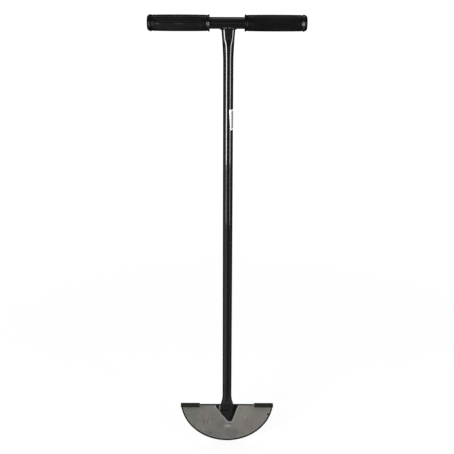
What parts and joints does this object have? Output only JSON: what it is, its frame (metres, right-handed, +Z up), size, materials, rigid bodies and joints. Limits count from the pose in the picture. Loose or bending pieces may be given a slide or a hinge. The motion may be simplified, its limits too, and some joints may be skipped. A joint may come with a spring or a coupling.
{
  "type": "half moon edger",
  "caption": "Half moon lawn edger: half round steel blade with turned foot treads on a tubular steel shaft, with a T handle and fluted grips.",
  "frame": {"origin": "under the shaft's axis at the height of the lowest point of the cutting edge. It lies 2.4 mm to the right of the bottom centre of the object's box, because the handle is welded on that far to the left", "axes": "+Z up along the shaft from the blade to the handle, +X along the handle to the viewer's right, +Y from the front, where the treads turn out, to the back"},
  "size_m": [0.302, 0.032, 0.963],
  "materials": {
    "bare_steel": "bare rolled sheet, dull and mottled",
    "black_paint": "black enamel, satin to gloss",
    "grip_rubber": "matt moulded",
    "label_paper": "matt white paper"
  },
  "bodies": {
    "root": {"blade": "bare_steel", "shaft": "black_paint", "cross_tube": "black_paint", "left_grip": "grip_rubber", "right_grip": "grip_rubber", "handle_weld": "black_paint", "left_blade_weld": "black_paint", "right_blade_weld": "black_paint", "paper_label": "label_paper"}
  },
  "joints": []
}
